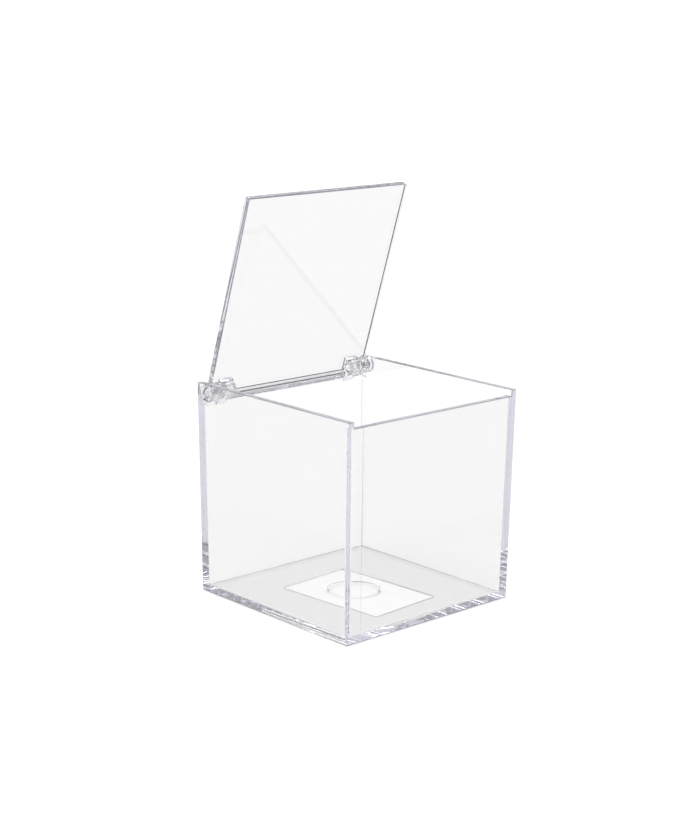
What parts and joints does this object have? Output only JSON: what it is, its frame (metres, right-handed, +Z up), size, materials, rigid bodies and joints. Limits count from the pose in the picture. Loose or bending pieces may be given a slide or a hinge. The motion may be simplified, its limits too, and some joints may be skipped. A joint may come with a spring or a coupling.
{
  "type": "clear acrylic display cube",
  "caption": "Clear acrylic display cube with thin drafted walls and a flat lid that drops between the side walls on a pinned rear hinge.",
  "frame": {"origin": "middle of the tray's underside, on the surface it stands on", "axes": "+Z up; -Y is the front, the side the lid's free edge closes on; the hinge runs along X near the back wall at +Y"},
  "size_m": [0.055, 0.055, 0.1001],
  "materials": {
    "clear_acrylic": "clear polished acrylic",
    "lid_acrylic": "clear polished acrylic",
    "pin_acrylic": "clear acrylic, lightly frosted by moulding",
    "pad_white": "matt white"
  },
  "bodies": {
    "tray": {"tray": "clear_acrylic", "hinge_pin_left": "pin_acrylic", "hinge_pin_right": "pin_acrylic", "base_pad": "pad_white"},
    "lid": {"lid": "lid_acrylic"}
  },
  "joints": [
    {"name": "lid_hinge", "type": "hinge", "parent": "tray", "child": "lid", "pos_m": [0, 0.0243, 0.0512], "axis": [-1, 0, 0], "range_deg": [-72.5, 47.5]}
  ]
}
